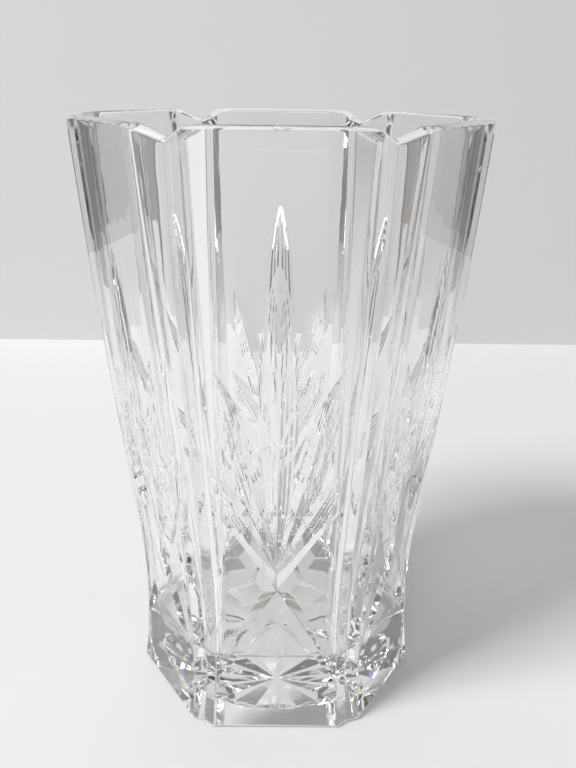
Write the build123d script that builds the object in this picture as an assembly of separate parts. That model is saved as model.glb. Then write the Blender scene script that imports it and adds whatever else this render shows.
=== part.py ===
from build123d import *
import os
from math import asin, cos, radians, sin, sqrt, tan

# Cut crystal vase, one piece of glass. Millimetres, +Z up, origin at the centre of the
# face that it stands on. Six raised panels, the first one facing -Y, are parted by V-shaped
# corner grooves. Every panel carries the same fan of mitre cuts, and the underside a star.

# Outside
height = 200.0
panels = 6
foot_flare_radius = 250.0      # vertical curve of the panels, from the foot to the taper
waist_height = 26.0            # narrowest level of the outside
waist_apothem = 44.1           # from the axis to a panel, at the waist
taper_start = 60.0             # where the foot curve runs into the long taper
rim_apothem = 62.3             # from the axis to a panel, at the rim
foot_edge_radius = 1.2

# Corner grooves
foot_groove_half = 4.1         # half of the straight line from ridge to ridge, at the foot
rim_groove_half = 8.1
foot_groove_depth = 1.0        # valley below that line
rim_groove_depth = 4.6
rim_notch_depth = 4.0          # how far the rim dips at a groove

# Inside
base_thickness = 23.5
floor_wall = 6.6               # glass behind a panel, level with the cavity floor
rim_wall = 3.8
floor_corner_half = 2.6        # half of the line across a corner of the cavity, at its floor
rim_corner_half = 13.1
floor_corner_dip = 0.4         # how far that corner bends in towards the axis
rim_corner_dip = 1.9
cavity_edge_radius = 4.0       # upright edges of the cavity
cavity_floor_radius = 3.0

# Mitre cuts: a V-shaped groove that dips in and out of the panel along a straight line
mitre_angle = 122.0            # included angle of the V
fan_focus = (0.0, 60.0)        # where the fan's cuts meet: across the panel, up the vase
spear_tip = (0.0, 164.5)
long_tip = (18.6, 131.5)
short_tip = (20.0, 97.5)
spear_half_width = 5.9
long_half_width = 4.7
short_half_width = 3.7
fan_fullest = 0.55             # where along it a cut is widest, as a share from its foot
saltire_foot = (-20.6, 19.0)   # the two cuts below the fan run corner to corner and cross
saltire_tip = (20.6, 86.0)
saltire_half_width = 3.75
saltire_fullest = 0.5
side_cut_foot = (18.6, 30.0)   # short upright cut on each side of the saltire
side_cut_tip = (17.2, 70.0)
side_cut_half_width = 1.5
side_cut_fullest = 0.5

# Star under the base
star_rays = 12
star_start = 0.5               # inner ends of the rays, next to the axis
star_radius = 27.0             # where the rays are deepest
star_depth = 1.2
star_exit = 4.0                # run over which they come out again

levels = 9                     # sections that the outside is lofted through
cavity_levels = 5              # sections that the cavity is lofted through
stations = 7                   # sections that a mitre cut is lofted through
overshoot = 3.0                # how far a cutter passes the surface that it cuts

half_turn = 180 / panels
corner = radians(half_turn)


def blend(start, end, share):
    return start + (end - start) * share


def foot_curve(z):
    reach = sqrt(foot_flare_radius**2 - (z - waist_height)**2)
    return waist_apothem + foot_flare_radius - reach


def apothem(z):
    """From the axis to a panel at height z: the foot curve, then a slightly bowed taper."""
    if z <= taper_start:
        return foot_curve(z)
    start = foot_curve(taper_start)
    slope = tan(asin((taper_start - waist_height) / foot_flare_radius))
    run = height - taper_start
    bow = (rim_apothem - start - slope * run) / run**2
    return start + slope * (z - taper_start) + bow * (z - taper_start)**2


def six_sided(distance, corner_half, corner_dip):
    """A hexagon whose corners are cut off and bent in towards the axis."""
    flat_half = (distance * sin(corner) - corner_half) / cos(corner)
    corner_radius = distance * cos(corner) + flat_half * sin(corner) - corner_dip
    points = []
    for panel in range(panels):
        turn = panel * 2 * half_turn
        points.append(Vector(distance, -flat_half).rotate(Axis.Z, turn))
        points.append(Vector(distance, flat_half).rotate(Axis.Z, turn))
        points.append(Vector(corner_radius, 0).rotate(Axis.Z, turn + half_turn))
    return make_face(Polyline(*points, close=True))


def outside_outline(z):
    share = z / height
    groove_half = blend(foot_groove_half, rim_groove_half, share)
    groove_depth = blend(foot_groove_depth, rim_groove_depth, share)
    return Pos(0, 0, z) * six_sided(apothem(z), groove_half, groove_depth)


def cavity_outline(z):
    share = (z - base_thickness) / (height - base_thickness)
    distance = apothem(z) - blend(floor_wall, rim_wall, share)
    corner_half = blend(floor_corner_half, rim_corner_half, share)
    corner_dip = blend(floor_corner_dip, rim_corner_dip, share)
    outline = six_sided(distance, corner_half, corner_dip)
    return Pos(0, 0, z) * fillet(outline.vertices(), cavity_edge_radius)


def rim_notches():
    """Bars with a V-shaped underside, each across two opposite grooves."""
    span = rim_groove_half * (rim_notch_depth + overshoot) / rim_notch_depth
    top = height + overshoot
    outline = Polyline((-span, top), (0, height - rim_notch_depth), (span, top), close=True)
    bar = extrude(Plane.YZ * make_face(outline), amount=rim_apothem * 2, both=True)
    return [Rot(0, 0, half_turn * (2 * notch + 1)) * bar for notch in range(panels // 2)]


def outside():
    """The whole block of glass, with its grooves, notched rim and rounded foot."""
    body = loft([outside_outline(height * level / (levels - 1)) for level in range(levels)])
    foot = body.edges().group_by(Axis.Z)[0]
    return fillet(foot, foot_edge_radius) - rim_notches()


def cavity():
    top = height + overshoot
    steps = cavity_levels - 1
    heights = [blend(base_thickness, top, level / steps) for level in range(cavity_levels)]
    hollow = loft([cavity_outline(z) for z in heights])
    floor = hollow.edges().group_by(Axis.Z)[0]
    return fillet(floor, cavity_floor_radius)


def mitre_cut(foot, tip, widest, fullest):
    """V-shaped cutter on the panel that faces +X, from foot to tip, each (across, up).
    It is widest, and deepest, at the share fullest of the way along."""
    along = Vector(tip[0] - foot[0], tip[1] - foot[1]).normalized()
    slope = tan(radians(mitre_angle / 2))
    sections = []
    for station in range(stations):
        share = station / (stations - 1)
        across = blend(foot[0], tip[0], share)
        up = blend(foot[1], tip[1], share)
        swell = share * (1 - fullest) / (fullest + share * (1 - 2 * fullest))
        width = widest * (1.08 * (4 * swell * (1 - swell))**0.7 - 0.08)
        reach = width + overshoot * slope
        surface = apothem(up)
        sections.append(make_face(Polyline(
            Vector(surface - width / slope, across, up),
            Vector(surface + overshoot, across + along.Y * reach, up - along.X * reach),
            Vector(surface + overshoot, across - along.Y * reach, up + along.X * reach),
            close=True,
        )))
    return loft(sections)


def panel_cuts():
    """Every cutter of the panel that faces +X."""
    cuts = [mitre_cut(fan_focus, spear_tip, spear_half_width, fan_fullest)]
    pairs = [
        (fan_focus, long_tip, long_half_width, fan_fullest),
        (fan_focus, short_tip, short_half_width, fan_fullest),
        (saltire_foot, saltire_tip, saltire_half_width, saltire_fullest),
        (side_cut_foot, side_cut_tip, side_cut_half_width, side_cut_fullest),
    ]
    for foot, tip, widest, fullest in pairs:
        cut = mitre_cut(foot, tip, widest, fullest)
        cuts += [cut, mirror(cut, about=Plane.XZ)]
    return cuts


def ray_section(x, depth):
    half = x * tan(radians(180 / star_rays)) * (star_depth + overshoot) / star_depth
    return make_face(Polyline(
        Vector(x, -half, -overshoot), Vector(x, half, -overshoot), Vector(x, 0, depth), close=True
    ))


def star():
    """V-shaped rays in the underside, each wider and deeper away from the axis."""
    ray = loft([
        ray_section(star_start, star_depth * star_start / star_radius),
        ray_section(star_radius, star_depth),
        ray_section(star_radius + star_exit, -overshoot / 2),
    ], ruled=True)
    return [Rot(0, 0, 360 / star_rays * number) * ray for number in range(star_rays)]


def crystal_vase():
    glass = outside() - cavity() - star()
    for cut in panel_cuts():
        glass -= [Rot(0, 0, 2 * half_turn * panel) * cut for panel in range(panels)]
    return Rot(0, 0, -90) * glass


os.makedirs("parts", exist_ok=True)
export_step(crystal_vase(), "parts/crystal_vase.step")
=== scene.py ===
import bmesh
import bpy
from math import asin, cos, hypot, pi, radians, sin, sqrt, tan
from mathutils import Matrix, Vector


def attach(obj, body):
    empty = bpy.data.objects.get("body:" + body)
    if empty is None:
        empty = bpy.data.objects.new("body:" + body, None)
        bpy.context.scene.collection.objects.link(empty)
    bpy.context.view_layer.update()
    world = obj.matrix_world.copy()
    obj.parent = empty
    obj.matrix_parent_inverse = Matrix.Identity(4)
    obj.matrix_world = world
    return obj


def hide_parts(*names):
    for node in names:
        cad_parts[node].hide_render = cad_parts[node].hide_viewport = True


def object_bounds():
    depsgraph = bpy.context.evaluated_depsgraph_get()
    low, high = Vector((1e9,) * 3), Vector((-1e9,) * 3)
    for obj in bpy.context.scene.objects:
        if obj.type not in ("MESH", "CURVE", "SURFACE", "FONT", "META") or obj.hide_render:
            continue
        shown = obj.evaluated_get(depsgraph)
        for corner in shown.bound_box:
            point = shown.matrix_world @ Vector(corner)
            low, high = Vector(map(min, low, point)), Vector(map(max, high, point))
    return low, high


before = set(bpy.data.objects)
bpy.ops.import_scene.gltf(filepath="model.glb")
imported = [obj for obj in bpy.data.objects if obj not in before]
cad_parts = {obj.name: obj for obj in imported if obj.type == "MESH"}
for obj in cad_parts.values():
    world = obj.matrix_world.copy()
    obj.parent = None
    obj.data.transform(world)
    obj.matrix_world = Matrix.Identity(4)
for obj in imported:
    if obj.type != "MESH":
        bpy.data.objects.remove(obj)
cad_low, cad_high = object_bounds()

# The vase is drawn in millimetres and scaled to metres at the end. Its frame is the CAD
# model's: +Z up, the foot's centre at the origin. It is drawn with a panel facing +X and
# turned at the end, so that this first panel faces -Y.
MM = 0.001
HEIGHT = (cad_high.z - cad_low.z) / MM
RIM_APOTHEM = (cad_high.y - cad_low.y) / MM / 2

# Outside
PANELS = 6
CORNER = pi / PANELS
FLARE_RADIUS = 250.0
WAIST_HEIGHT, WAIST_APOTHEM = 26.0, 44.1
TAPER_START = 60.0
FOOT_EDGE = 1.2
GROOVE_HALF = (4.1, 8.1)          # half the gap from ridge to ridge: at the foot, at the rim
GROOVE_DEPTH = (1.0, 4.6)
RIDGE_RADIUS, VALLEY_RADIUS = 0.7, 1.2
NOTCH_DEPTH = 4.0                 # how far the rim dips at a groove
NOTCH_ROUNDING = 0.9
RIM_EDGE = 1.5

# Inside
BASE = 23.5
FLOOR_WALL, RIM_WALL = 6.6, 3.8
CAVITY_CORNER_HALF = (2.6, 13.1)  # half the line across a corner: at the floor, at the rim
CAVITY_CORNER_DIP = (0.4, 1.9)
CAVITY_EDGE, CAVITY_VALLEY = 4.0, 4.0
FLOOR_EDGE = 3.0
CORNER_RIPPLE = 0.04              # height of the ripples across a corner, as a share of their pitch

# Mitre cuts: foot and tip as (across the panel, up the vase), half width, share of the way
# along where the cut is widest, ripple
MITRE_ANGLE = 122.0
FOCUS = (0.0, 60.0)
RIPPLE, PLAIN = 0.018, 0.0        # height of the ripples along a cut, as a share of its half width
SPEAR = (FOCUS, (0.0, 164.5), 5.9, 0.55, RIPPLE)
PAIRS = [
    (FOCUS, (18.6, 131.5), 4.7, 0.55, RIPPLE),
    (FOCUS, (20.0, 97.5), 3.7, 0.55, RIPPLE),
    ((-20.6, 19.0), (20.6, 86.0), 3.75, 0.5, PLAIN),
    ((18.6, 30.0), (17.2, 70.0), 1.5, 0.5, PLAIN),
]
LEAF_POWER = 0.7                  # under 1, a cut is fuller towards its ends
LEAF_RISE = 0.08                  # its cutter ends this share of its depth above the panel
STATIONS = 28                     # sections along a cut
CROWDING = 0.75                   # how much they crowd towards its ends, from 0 to 1
FLUTES = 8                        # strips on each side of a cut
LEAST_WIDTH = 0.3                 # what the flutes share where a cut has no width left
LIP = 2.0                         # how far a cutter stands proud of the glass

# Star in the underside
STAR_RAYS, STAR_RADIUS, STAR_DEPTH, STAR_EXIT = 12, 27.0, 1.2, 4.0
STAR_RIDGE = 0.15                 # how far the ridges between the rays are sunk

# How finely the glass is drawn. A side's half has as many points inside as outside.
PANEL_STEPS = 4                   # from the panel's middle to its narrower strips
PANEL_SHARE = 0.7                 # share of the way to the ridge that they start at
CAVITY_STEPS = 5                  # round an upright edge of the cavity
RIDGE_STEPS = 6                   # round a corner ridge
GROOVE_STEPS = 3                  # from the ridge to the valley
VALLEY_STEPS = 4                  # half of the way round a valley
WALL_ROWS, EDGE_ROWS = 54, 7
FOOT_RINGS = (0.3, 0.62, 0.8)     # rings in the underside, as shares of its size
FLOOR_RINGS = (0.6, 0.3)          # rings in the floor, each as a share of the one before it
SMOOTH_BELOW = radians(15)        # edges that turn by more than this stay crisp
MERGE_WITHIN = 0.001
SLIVER = 0.002                    # edges and faces thinner than this are dissolved


def blend(pair, share):
    return pair[0] + (pair[1] - pair[0]) * share


def flare(z):
    return WAIST_APOTHEM + FLARE_RADIUS - sqrt(FLARE_RADIUS**2 - (z - WAIST_HEIGHT)**2)


def apothem(z):
    """From the axis to a panel at height z: the foot curve, then a slightly bowed taper."""
    if z <= TAPER_START:
        return flare(z)
    start, run = flare(TAPER_START), HEIGHT - TAPER_START
    slope = tan(asin((TAPER_START - WAIST_HEIGHT) / FLARE_RADIUS))
    bow = (RIM_APOTHEM - start - slope * run) / run**2
    return start + slope * (z - TAPER_START) + bow * (z - TAPER_START)**2


def line(start, end, steps):
    """The points of so many steps from start towards end, without end."""
    return [start.lerp(end, k / steps) for k in range(steps)]


def rippled(points):
    """The same row of points, all but the first moved in turn to either side of its line."""
    step = points[1] - points[0]
    aside = Vector((-step.y, step.x)) * CORNER_RIPPLE
    return points[:1] + [p + aside * (-1)**k for k, p in enumerate(points[1:])]


def arc(before, corner, after, radius, steps):
    """The points of so many steps round a corner, from one tangent point to the other."""
    to_before, to_after = (before - corner).normalized(), (after - corner).normalized()
    half = to_before.angle(to_after) / 2
    centre = corner + (to_before + to_after).normalized() * (radius / sin(half))
    first = corner + to_before * (radius / tan(half)) - centre
    last = corner + to_after * (radius / tan(half)) - centre
    sweep = first.angle(last)
    points = []
    for k in range(steps + 1):
        share = k / steps
        mix = first * sin(sweep * (1 - share)) + last * sin(sweep * share)
        points.append(centre + mix / sin(sweep))
    return points


def six_sided_corner(distance, corner_half, corner_dip):
    """A panel's flat end, the middle of the corner beside it, and the next panel's flat end."""
    flat_half = (distance * sin(CORNER) - corner_half) / cos(CORNER)
    reach = distance * cos(CORNER) + flat_half * sin(CORNER) - corner_dip
    end = Vector((distance, flat_half))
    middle = Vector((reach * cos(CORNER), reach * sin(CORNER)))
    fold = Vector((cos(CORNER), sin(CORNER)))
    beyond = fold * (2 * end.dot(fold)) - end
    return end, middle, beyond


def half_valley(end, middle, beyond, radius):
    return arc(end, middle, beyond, radius, 2 * VALLEY_STEPS)[:VALLEY_STEPS + 1]


def inside_half(z):
    """Half of one side of the cavity, from the panel's middle to the corner's."""
    share = (z - BASE) / (HEIGHT - BASE)
    distance = apothem(z) - blend((FLOOR_WALL, RIM_WALL), share)
    end, middle, beyond = six_sided_corner(
        distance, blend(CAVITY_CORNER_HALF, share), blend(CAVITY_CORNER_DIP, share))
    start = Vector((distance, 0))
    edge = arc(start, end, middle, CAVITY_EDGE, CAVITY_STEPS)
    valley = half_valley(end, middle, beyond, CAVITY_VALLEY)
    face = rippled(line(edge[-1], valley[0], RIDGE_STEPS + GROOVE_STEPS))
    return line(start, edge[0], PANEL_STEPS) + edge[:-1] + face + valley


def outside_half(z):
    """Half of one side of the outside, point for point with inside_half."""
    share = z / HEIGHT
    distance = apothem(z)
    end, middle, beyond = six_sided_corner(
        distance, blend(GROOVE_HALF, share), blend(GROOVE_DEPTH, share))
    start = Vector((distance, 0))
    ridge = arc(start, end, middle, RIDGE_RADIUS, RIDGE_STEPS)
    valley = half_valley(end, middle, beyond, VALLEY_RADIUS)
    narrower = start.lerp(ridge[0], PANEL_SHARE)
    return (line(start, narrower, PANEL_STEPS) + line(narrower, ridge[0], CAVITY_STEPS)
            + ridge[:-1] + line(ridge[-1], valley[0], GROOVE_STEPS) + valley)


def dip(point):
    """How far the rim is below the top at a point, given in its half of a side: a V-shaped
    notch with a rounded bottom, eased into the level rim."""
    off = abs(point.x * sin(CORNER) - point.y * cos(CORNER))
    slope = NOTCH_DEPTH / GROOVE_HALF[1]
    off = hypot(off, NOTCH_ROUNDING) - NOTCH_ROUNDING / 2
    fall = (GROOVE_HALF[1] - off) * slope
    return (fall + hypot(fall, NOTCH_ROUNDING / 2)) / 2


def section(k):
    """The upright section through the k-th points of a half side, from the underside up the
    outside, over the rim and down to the floor."""
    def outer(z):
        return outside_half(z)[k]

    def inner(z):
        return inside_half(z)[k]

    points = []
    foot = outer(FOOT_EDGE)
    for share in FOOT_RINGS:
        points.append((*(foot * share), 0))
    for j in range(EDGE_ROWS):
        turn = pi / 2 * j / EDGE_ROWS
        scale = 1 - FOOT_EDGE * (1 - sin(turn)) / apothem(FOOT_EDGE)
        points.append((*(foot * scale), FOOT_EDGE * (1 - cos(turn))))
    outer_top = HEIGHT - dip(outer(HEIGHT)) - RIM_EDGE
    inner_top = HEIGHT - dip(inner(HEIGHT)) - RIM_EDGE
    for j in range(WALL_ROWS):
        z = blend((FOOT_EDGE, outer_top), j / WALL_ROWS)
        points.append((*outer(z), z))
    for j in range(2 * EDGE_ROWS + 1):
        turn = pi * j / (2 * EDGE_ROWS)
        across = (1 - cos(turn)) / 2
        z = blend((outer_top, inner_top), across) + RIM_EDGE * sin(turn)
        points.append((*outer(outer_top).lerp(inner(inner_top), across), z))
    low = BASE + FLOOR_EDGE
    for j in range(1, WALL_ROWS):
        z = blend((inner_top, low), j / WALL_ROWS)
        points.append((*inner(z), z))
    for j in range(EDGE_ROWS + 1):
        turn = pi / 2 * j / EDGE_ROWS
        scale = 1 - FLOOR_EDGE * (1 - cos(turn)) / (apothem(BASE) - FLOOR_WALL)
        points.append((*(inner(low) * scale), BASE + FLOOR_EDGE * (1 - sin(turn))))
    for share in FLOOR_RINGS:
        points.append((*(Vector(points[-1][:2]) * share), BASE))
    return [Vector(p) for p in points]


def uncut_glass():
    """The whole block with its cavity, as one closed surface of upright sections."""
    half = [section(k) for k in range(len(inside_half(HEIGHT)))]
    mirrored = [[Vector((p.x, -p.y, p.z)) for p in column] for column in half[-2:0:-1]]
    side = mirrored + half
    mesh = bmesh.new()
    columns = []
    for panel in range(PANELS):
        turn = Matrix.Rotation(2 * CORNER * panel, 3, "Z")
        for column in side:
            columns.append([mesh.verts.new(turn @ p) for p in column])
    bottom = mesh.verts.new((0, 0, 0))
    floor = mesh.verts.new((0, 0, BASE))
    for here, after in zip(columns, columns[1:] + columns[:1]):
        mesh.faces.new((bottom, after[0], here[0]))
        mesh.faces.new((floor, here[-1], after[-1]))
        for a, b, c, d in zip(here, after, after[1:], here[1:]):
            mesh.faces.new((a, b, c, d))
    return mesh


def prism(sections):
    """A closed mesh through a row of sections, each a ring of as many points."""
    mesh = bmesh.new()
    rings = [[mesh.verts.new(p) for p in ring] for ring in sections]
    for ring, following in zip(rings, rings[1:]):
        for k in range(len(ring)):
            mesh.faces.new((ring[k - 1], ring[k], following[k], following[k - 1]))
    mesh.faces.new(rings[0])
    mesh.faces.new(reversed(rings[-1]))
    bmesh.ops.recalc_face_normals(mesh, faces=mesh.faces)
    return mesh


def mitre_profile(width, depth):
    """Half of a cut's V-shaped section: (off its middle line, out of the panel) points."""
    slope = tan(radians(MITRE_ANGLE / 2))
    pitch = max(width, LEAST_WIDTH) / FLUTES
    points = []
    for k in range(FLUTES + 1):
        ripple = depth * max(width, 0) * (-1)**k if 0 < k < FLUTES else 0
        points.append((pitch * k, (pitch * k - width) / slope + ripple))
    points.append((width + LIP * slope, LIP))
    return points


def mitre_cutter(foot, tip, widest, fullest, ripple, side=1):
    """The cutter of one cut, from foot to tip on the panel that faces +X. Side -1 mirrors it."""
    along = Vector((tip[0] - foot[0], tip[1] - foot[1])).normalized()
    sections = []
    for station in range(STATIONS):
        share = station / (STATIONS - 1)
        share -= sin(2 * pi * share) / (2 * pi) * CROWDING
        s, z = blend((foot[0], tip[0]), share), blend((foot[1], tip[1]), share)
        swell = share * (1 - fullest) / (fullest + share * (1 - 2 * fullest))
        leaf = (4 * swell * (1 - swell))**LEAF_POWER
        width = widest * ((1 + LEAF_RISE) * leaf - LEAF_RISE)
        half = mitre_profile(width, ripple)
        whole = half + [(-off, out) for off, out in half[:0:-1]]
        sections.append([
            (apothem(z) + out, side * (s + along.y * off), z - along.x * off)
            for off, out in whole
        ])
    return prism(sections)


def star_cutter():
    """A shallow dish whose floor is a ring of V-shaped rays."""
    mesh = bmesh.new()
    count = 2 * STAR_RAYS
    levels = [(STAR_RADIUS, STAR_DEPTH), (STAR_RADIUS + STAR_EXIT, -STAR_DEPTH / 2)]
    rings = []
    for radius, depth in levels:
        ring = []
        for k in range(count):
            deep = k % 2 == 0
            turn = 2 * pi * k / count
            out = radius if deep else radius / cos(pi / STAR_RAYS)
            z = depth if deep else min(depth, STAR_RIDGE)
            ring.append(mesh.verts.new((out * cos(turn), out * sin(turn), z)))
        rings.append(ring)
    rings.append([mesh.verts.new((v.co.x, v.co.y, -LIP)) for v in rings[-1]])
    top, bottom = mesh.verts.new((0, 0, STAR_RIDGE)), mesh.verts.new((0, 0, -LIP))
    for k in range(count):
        after = (k + 1) % count
        mesh.faces.new((top, rings[0][k], rings[0][after]))
        mesh.faces.new((bottom, rings[-1][after], rings[-1][k]))
        for inner, outer in zip(rings, rings[1:]):
            mesh.faces.new((inner[k], outer[k], outer[after], inner[after]))
    bmesh.ops.recalc_face_normals(mesh, faces=mesh.faces)
    return mesh


def as_object(name, mesh):
    data = bpy.data.meshes.new(name)
    mesh.to_mesh(data)
    mesh.free()
    piece = bpy.data.objects.new(name, data)
    bpy.context.scene.collection.objects.link(piece)
    return piece


def all_round(cutter):
    """The same cutter on each panel."""
    ring = bmesh.new()
    data = bpy.data.meshes.new("cutter")
    cutter.to_mesh(data)
    cutter.free()
    for panel in range(PANELS):
        data.transform(Matrix.Rotation(2 * CORNER, 4, "Z"))
        ring.from_mesh(data)
    bpy.data.meshes.remove(data)
    return ring


def bake(piece):
    """Replaces a piece's mesh by what its modifiers make of it."""
    depsgraph = bpy.context.evaluated_depsgraph_get()
    done = bpy.data.meshes.new_from_object(piece.evaluated_get(depsgraph))
    piece.modifiers.clear()
    piece.data = done


def carve(piece, cutter):
    tool = as_object("cutter", cutter)
    cut = piece.modifiers.new("cut", "BOOLEAN")
    cut.operation = "DIFFERENCE"
    cut.solver = "MANIFOLD"
    cut.object = tool
    bake(piece)
    bpy.data.objects.remove(tool)


def cut_glass():
    """The vase with its star and every panel's cuts, at its size in metres."""
    piece = as_object("vase_glass", uncut_glass())
    carve(piece, star_cutter())
    carve(piece, all_round(mitre_cutter(*SPEAR)))
    for cut in PAIRS:
        for side in (-1, 1):
            carve(piece, all_round(mitre_cutter(*cut, side)))
    piece.data.transform(Matrix.Rotation(-pi / 2, 4, "Z") @ Matrix.Scale(MM, 4))
    return piece


def polish(piece):
    """Clears the slivers that carving leaves, and shades all but the crisp edges smooth."""
    mesh = bmesh.new()
    mesh.from_mesh(piece.data)
    bmesh.ops.remove_doubles(mesh, verts=mesh.verts, dist=MERGE_WITHIN * MM)
    bmesh.ops.dissolve_degenerate(mesh, edges=mesh.edges, dist=SLIVER * MM)
    mesh.to_mesh(piece.data)
    mesh.free()
    piece.data.shade_smooth()
    piece.data.set_sharp_from_angle(angle=SMOOTH_BELOW)
    weights = piece.modifiers.new("weights", "WEIGHTED_NORMAL")
    weights.keep_sharp = True
    bake(piece)


def shader(name):
    material = bpy.data.materials.new(name)
    material.use_nodes = True
    tree = material.node_tree
    surface = tree.nodes["Principled BSDF"]
    return material, tree, surface


def lead_crystal():
    """Clear lead glass, with the faint waviness of a polished surface."""
    material, tree, surface = shader("lead_crystal")
    surface.inputs["Base Color"].default_value = (1.0, 1.0, 1.0, 1.0)
    surface.inputs["Roughness"].default_value = 0.0
    surface.inputs["IOR"].default_value = 1.545
    surface.inputs["Transmission Weight"].default_value = 1.0
    where = tree.nodes.new("ShaderNodeTexCoord")
    waves = tree.nodes.new("ShaderNodeTexNoise")
    waves.inputs["Scale"].default_value = 55.0
    waves.inputs["Detail"].default_value = 2.0
    bump = tree.nodes.new("ShaderNodeBump")
    bump.inputs["Strength"].default_value = 0.05
    bump.inputs["Distance"].default_value = MM
    tree.links.new(where.outputs["Object"], waves.inputs["Vector"])
    tree.links.new(waves.outputs["Fac"], bump.inputs["Height"])
    tree.links.new(bump.outputs["Normal"], surface.inputs["Normal"])
    return material


glass = cut_glass()
polish(glass)
glass.data.materials.clear()
glass.data.materials.append(lead_crystal())

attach(glass, "root")
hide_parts("crystal_vase")

# The stage, in metres and in shares of the vase's height
H = HEIGHT * MM
REACH = 6 * H                      # how far the floor runs to the sides and the front
WALL_Y = 2.15 * H
WALL_HALF, WALL_TOP = 1.6 * H, 3 * H
FRINGE = 0.04 * H                  # width of each coloured strip beside the wall
GAP = 0.2 * MM                     # the thin air film under the foot
POOL_INSET = 4.0                   # mm from the foot's panels in to the glow's corners

FLOOR_PAINT, FLOOR_ROUGHNESS = (0.94, 0.94, 0.945), 0.6
WALL_PAINT, WALL_ROUGHNESS = (0.70, 0.69, 0.692), 0.8
AMBER, BLUE = (0.85, 0.64, 0.22), (0.26, 0.34, 0.68)
GLOW_COLOR, GLOW_STRENGTH = (1.0, 0.99, 0.98), 0.27
ROOM_COLOR, ROOM_STRENGTH = (1.0, 0.97, 0.94), 0.18

# Where it stands, what it points at, its two sides and its power in watts
LAMPS = {
    "key": ((-10 * H, -7 * H, 14 * H), (0, 0.3 * H, 0), (6 * H, 6 * H), 94),
    "window": ((-H, -7 * H, 4 * H), (0, 0, 0.1 * H), (4 * H, 3 * H), 6),
    "overhead": ((0, 0.2 * H, 6 * H), (0, 0.2 * H, 0), (4 * H, 3 * H), 1.0),
}

LENS = 42.6
CAMERA_PLACE = (0.0022 * H, -1.5129 * H, 1.0625 * H)
PITCH, YAW, ROLL = radians(18.84), radians(0.52), radians(0.74)


def sheet(name, corners, color, roughness):
    mesh = bmesh.new()
    mesh.faces.new([mesh.verts.new(c) for c in corners])
    piece = as_object(name, mesh)
    material, _, surface = shader(name)
    surface.inputs["Base Color"].default_value = (*color, 1)
    surface.inputs["Roughness"].default_value = roughness
    piece.data.materials.append(material)
    return surface


def upright_sheet(name, left, right, color):
    corners = [(left, WALL_Y, -GAP), (right, WALL_Y, -GAP),
               (right, WALL_Y, WALL_TOP), (left, WALL_Y, WALL_TOP)]
    sheet(name, corners, color, WALL_ROUGHNESS)


def room():
    corners = [(-REACH, -REACH, -GAP), (REACH, -REACH, -GAP),
               (REACH, WALL_Y, -GAP), (-REACH, WALL_Y, -GAP)]
    sheet("floor", corners, FLOOR_PAINT, FLOOR_ROUGHNESS)
    upright_sheet("wall", -WALL_HALF, WALL_HALF, WALL_PAINT)


def light_pool():
    """A faint glow under the foot, its strength set to brighten the base."""
    radius = (apothem(0) - POOL_INSET) * MM
    turns = [CORNER * k for k in range(2 * PANELS)]
    corners = [(radius * cos(turn), radius * sin(turn), -GAP / 2) for turn in turns]
    surface = sheet("light_pool", corners, FLOOR_PAINT, FLOOR_ROUGHNESS)
    surface.inputs["Emission Color"].default_value = (*GLOW_COLOR, 1)
    surface.inputs["Emission Strength"].default_value = GLOW_STRENGTH


def coloured_edges():
    """Where the wall ends against the darker room, crystal would spread the edge into
    colours. Strips of those colours stand there, since this glass has only one index."""
    for side in (-1, 1):
        for name, start, color in (("amber", WALL_HALF, AMBER), ("blue", WALL_HALF + FRINGE, BLUE)):
            upright_sheet(f"{name}_edge_{side + 1}", side * start, side * (start + FRINGE), color)


def room_light():
    world = bpy.data.worlds.new("studio")
    bpy.context.scene.world = world
    world.use_nodes = True
    background = world.node_tree.nodes["Background"]
    background.inputs["Color"].default_value = (*ROOM_COLOR, 1)
    background.inputs["Strength"].default_value = ROOM_STRENGTH


def lamp(name, place, target, size, power):
    data = bpy.data.lights.new(name, "AREA")
    data.shape = "RECTANGLE"
    data.size, data.size_y = size
    data.energy = power
    piece = bpy.data.objects.new(name, data)
    piece.location = place
    aim = Vector(target) - Vector(place)
    piece.rotation_euler = aim.to_track_quat("-Z", "Y").to_euler()
    bpy.context.scene.collection.objects.link(piece)


def camera():
    data = bpy.data.cameras.new("camera")
    data.sensor_width = 36
    data.sensor_fit = "AUTO"
    data.lens = LENS
    piece = bpy.data.objects.new("camera", data)
    forward = Vector((sin(YAW) * cos(PITCH), cos(YAW) * cos(PITCH), -sin(PITCH)))
    right = Vector((cos(YAW), -sin(YAW), 0))
    up = right.cross(forward)
    across = right * cos(ROLL) + up * sin(ROLL)
    upward = up * cos(ROLL) - right * sin(ROLL)
    pose = Matrix((across, upward, -forward)).transposed().to_4x4()
    pose.translation = CAMERA_PLACE
    piece.matrix_world = pose
    bpy.context.scene.collection.objects.link(piece)
    bpy.context.scene.camera = piece


room()
light_pool()
coloured_edges()
room_light()
for name, settings in LAMPS.items():
    lamp(name, *settings)
camera()

scene = bpy.context.scene
scene.view_settings.view_transform = "Standard"
scene.cycles.max_bounces = 32
scene.cycles.transmission_bounces = 32
scene.cycles.glossy_bounces = 16
scene.cycles.diffuse_bounces = 8
